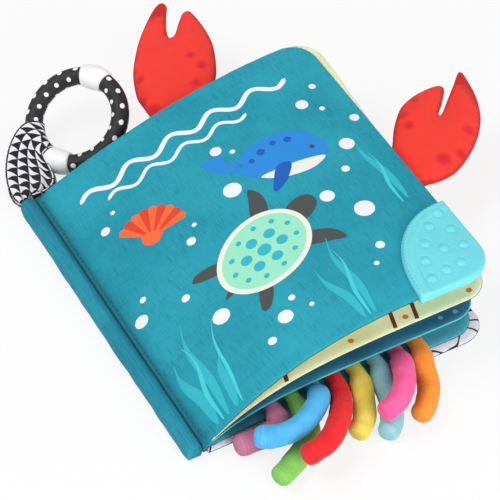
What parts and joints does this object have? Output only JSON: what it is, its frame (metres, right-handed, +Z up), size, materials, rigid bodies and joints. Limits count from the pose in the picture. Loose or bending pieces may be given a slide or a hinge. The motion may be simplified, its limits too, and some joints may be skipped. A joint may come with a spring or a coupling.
{
  "type": "crinkle cloth book",
  "caption": "Baby's padded cloth book with a puffed spine, soft tentacles and claws at its edges, a silicone corner teether and a teething ring on a cloth strap.",
  "frame": {"origin": "middle of the back cover's flat underside, on the surface that the book lies on", "axes": "+X from the spine to the fore edge, +Y from the tail edge to the head edge, +Z up through the leaves"},
  "size_m": [0.2573, 0.327, 0.0583],
  "materials": {
    "teal_cloth": "printed woven cloth",
    "cream_cloth": "printed woven cloth",
    "navy_cloth": "printed woven cloth",
    "turquoise_cloth": "printed woven cloth",
    "white_cloth": "white woven cloth with black waves",
    "foam": "soft foam sheet",
    "film": "crinkly clear film",
    "wadding": "polyester fibre fill",
    "claw_red": "short felt with darker spots",
    "silicone_blue": "satin silicone",
    "ring_black": "matte black with white dots",
    "ring_white": "satin white plastic",
    "strap_cloth": "black and white triangle print on woven cloth",
    "plush_mauve": "ribbed short plush",
    "plush_green": "ribbed short plush",
    "plush_blue": "ribbed short plush",
    "plush_red": "ribbed short plush",
    "plush_yellow": "ribbed short plush",
    "plush_light_blue": "ribbed short plush",
    "plush_pink": "ribbed short plush",
    "plush_orange": "ribbed short plush"
  },
  "bodies": {
    "book_base": {"back_cover_front_cloth": "white_cloth", "back_cover_back_cloth": "teal_cloth", "back_cover_foam": "foam", "back_cover_crinkle_film": "film", "spine_cloth": "teal_cloth", "spine_padding": "wadding", "seam_binding": "teal_cloth"},
    "leaf_4": {"leaf_4_front_cloth": "turquoise_cloth", "leaf_4_back_cloth": "white_cloth", "leaf_4_foam": "foam", "tentacle_mauve": "plush_mauve", "tentacle_green": "plush_green", "tentacle_blue": "plush_blue", "tentacle_red": "plush_red", "tentacle_yellow": "plush_yellow", "tentacle_light_blue": "plush_light_blue", "tentacle_pink": "plush_pink", "tentacle_orange": "plush_orange"},
    "leaf_3": {"leaf_3_front_cloth": "navy_cloth", "leaf_3_back_cloth": "turquoise_cloth", "leaf_3_foam": "foam", "leaf_3_crinkle_film": "film"},
    "leaf_2": {"leaf_2_front_cloth": "cream_cloth", "leaf_2_back_cloth": "navy_cloth", "leaf_2_foam": "foam", "leaf_2_crinkle_film": "film"},
    "front_cover": {"front_cover_front_cloth": "teal_cloth", "front_cover_back_cloth": "cream_cloth", "front_cover_foam": "foam", "front_cover_crinkle_film": "film", "corner_teether": "silicone_blue"},
    "head_claw": {"head_claw_front_cloth": "claw_red", "head_claw_back_cloth": "claw_red", "head_claw_wadding": "wadding"},
    "fore_claw": {"fore_claw_front_cloth": "claw_red", "fore_claw_back_cloth": "claw_red", "fore_claw_wadding": "wadding"},
    "strap": {"ring_strap": "strap_cloth"},
    "ring": {"ring_arc_left": "ring_black", "ring_arc_right": "ring_black", "ring_connector_upper": "ring_white", "ring_connector_lower": "ring_white"}
  },
  "joints": [
    {"name": "leaf_4_turn", "type": "hinge", "parent": "book_base", "child": "leaf_4", "pos_m": [-0.079, 0, 0.0125], "axis": [0, 1, 0], "range_deg": [-53, 0]},
    {"name": "leaf_3_turn", "type": "hinge", "parent": "leaf_4", "child": "leaf_3", "pos_m": [-0.079, 0, 0.0125], "axis": [0, 1, 0], "range_deg": [-53, 0]},
    {"name": "leaf_2_turn", "type": "hinge", "parent": "leaf_3", "child": "leaf_2", "pos_m": [-0.079, 0, 0.0095], "axis": [0, 1, 0], "range_deg": [-53, 0]},
    {"name": "front_cover_turn", "type": "hinge", "parent": "leaf_2", "child": "front_cover", "pos_m": [-0.081, 0, 0.0115], "axis": [0, -1, 0], "range_deg": [0, 160]},
    {"name": "head_claw_fold", "type": "hinge", "parent": "leaf_2", "child": "head_claw", "pos_m": [0.01083, 0.09969, 0.03159], "axis": [0.9849, 0, 0.1729], "range_deg": [0, 70]},
    {"name": "fore_claw_fold", "type": "hinge", "parent": "leaf_2", "child": "fore_claw", "pos_m": [0.09069, -0.00392, 0.03664], "axis": [0, -0.9996, -0.0282], "range_deg": [0, 70]},
    {"name": "strap_swing", "type": "hinge", "parent": "book_base", "child": "strap", "pos_m": [-0.08525, 0.1053, 0.006], "axis": [0, 0, 1], "range_deg": [0, 80]},
    {"name": "ring_turn", "type": "hinge", "parent": "strap", "child": "ring", "pos_m": [-0.0385, 0.1311, 0.02041], "axis": [-0.4695, -0.2136, 0.8567], "range_deg": [0, 90]}
  ]
}
